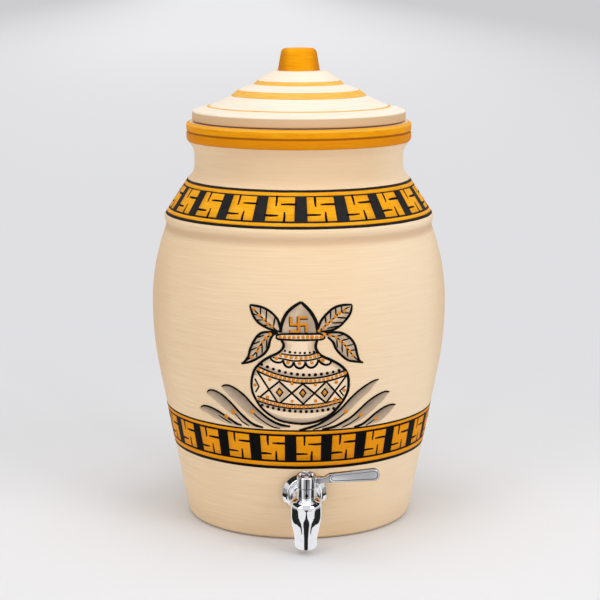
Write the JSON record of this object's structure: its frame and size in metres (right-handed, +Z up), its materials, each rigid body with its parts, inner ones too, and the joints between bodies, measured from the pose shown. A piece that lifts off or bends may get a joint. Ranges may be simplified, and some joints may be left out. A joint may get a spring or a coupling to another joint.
{
  "type": "clay water pot with tap",
  "caption": "Tall round clay water pot with a flared neck, a loose stepped clay lid with a knob, and a chrome lever tap low on its front for drawing water.",
  "frame": {"origin": "centre of the pot's round base, on the surface it stands on", "axes": "+Z up along the pot's axis, -Y towards the tap, +X to the right of someone who faces the tap"},
  "size_m": [0.2639, 0.2903, 0.42],
  "materials": {
    "pot_clay": "matt cream slip over fired clay, brushed round the pot",
    "lid_clay": "matt pale slip over fired clay",
    "tap_chrome": "polished chrome plate",
    "seal_rubber": "matt black rubber",
    "washer_steel": "plain stainless steel",
    "nut_brass": "plain machined brass",
    "plug_brass": "plain machined brass",
    "liner_plastic": "white low-friction plastic",
    "gold_paint": "brushed golden yellow paint on the rim, the knob and the bands",
    "black_paint": "black paint lines",
    "grey_paint": "thin grey wash in the painted picture",
    "ivory_paint": "pale paint in the painted picture",
    "orange_paint": "orange paint dots"
  },
  "bodies": {
    "pot": {"pot_body": "pot_clay", "tap_body": "tap_chrome", "tap_escutcheon": "tap_chrome", "front_seal": "seal_rubber", "rear_seal": "seal_rubber", "clamp_washer": "washer_steel", "back_nut": "nut_brass", "plug_sleeve": "liner_plastic", "thrust_washer": "liner_plastic", "bonnet": "tap_chrome", "stop_pin": "washer_steel"},
    "lid": {"lid": "lid_clay"},
    "valve_lever": {"lever": "tap_chrome", "valve_plug": "plug_brass", "stem_o_ring": "seal_rubber", "lock_washer": "washer_steel", "lever_screw": "washer_steel"}
  },
  "joints": [
    {"name": "lid_lift", "type": "slide", "parent": "pot", "child": "lid", "axis": [0, 0, 1], "range_m": [0, 0.15]},
    {"name": "lever_turn", "type": "hinge", "parent": "pot", "child": "valve_lever", "pos_m": [0, -0.14391, 0.0394], "axis": [0, -0.1886, 0.9821], "range_deg": [-90, 0]}
  ]
}
